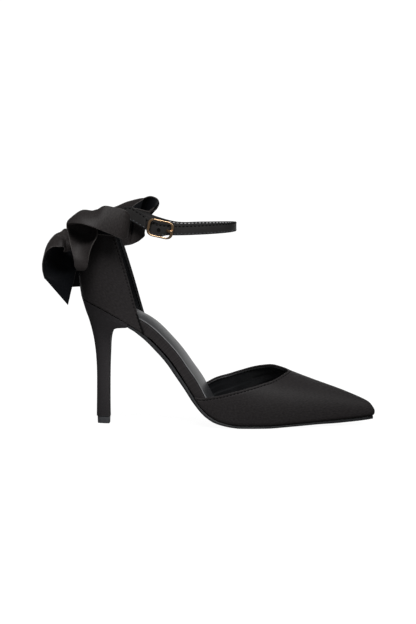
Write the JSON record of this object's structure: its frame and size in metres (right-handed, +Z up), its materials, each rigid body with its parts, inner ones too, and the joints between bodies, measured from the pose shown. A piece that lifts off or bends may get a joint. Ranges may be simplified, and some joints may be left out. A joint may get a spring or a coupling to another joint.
{
  "type": "high-heeled shoe",
  "caption": "Black satin pointed pump for the right foot, with a cut-away waist, slim high heel, ankle strap with a gold buckle, and a satin ribbon bow at the back.",
  "frame": {"origin": "on the floor, under the middle of the whole shoe's bounding box", "axes": "+X to the toe, +Y to the inner side of the foot, +Z up"},
  "size_m": [0.2624, 0.0892, 0.1761],
  "materials": {
    "satin": "black satin",
    "sock_leather": "smooth grey leather",
    "strap_leather": "black smooth leather",
    "sole_leather": "black sole leather",
    "tip_rubber": "matt dark rubber",
    "gold": "polished gold plate"
  },
  "bodies": {
    "root": {"outsole": "sole_leather", "insole": "satin", "sock_lining": "sock_leather", "vamp": "satin", "counter": "satin", "heel": "satin", "top_lift": "tip_rubber", "strap_front": "strap_leather", "strap_rear": "strap_leather", "buckle_frame": "gold", "buckle_prong": "gold", "bow_knot": "satin", "bow_loop_near": "satin", "bow_drop_near": "satin", "bow_loop_far": "satin", "bow_tail_near": "satin", "bow_tail_far": "satin"}
  },
  "joints": []
}
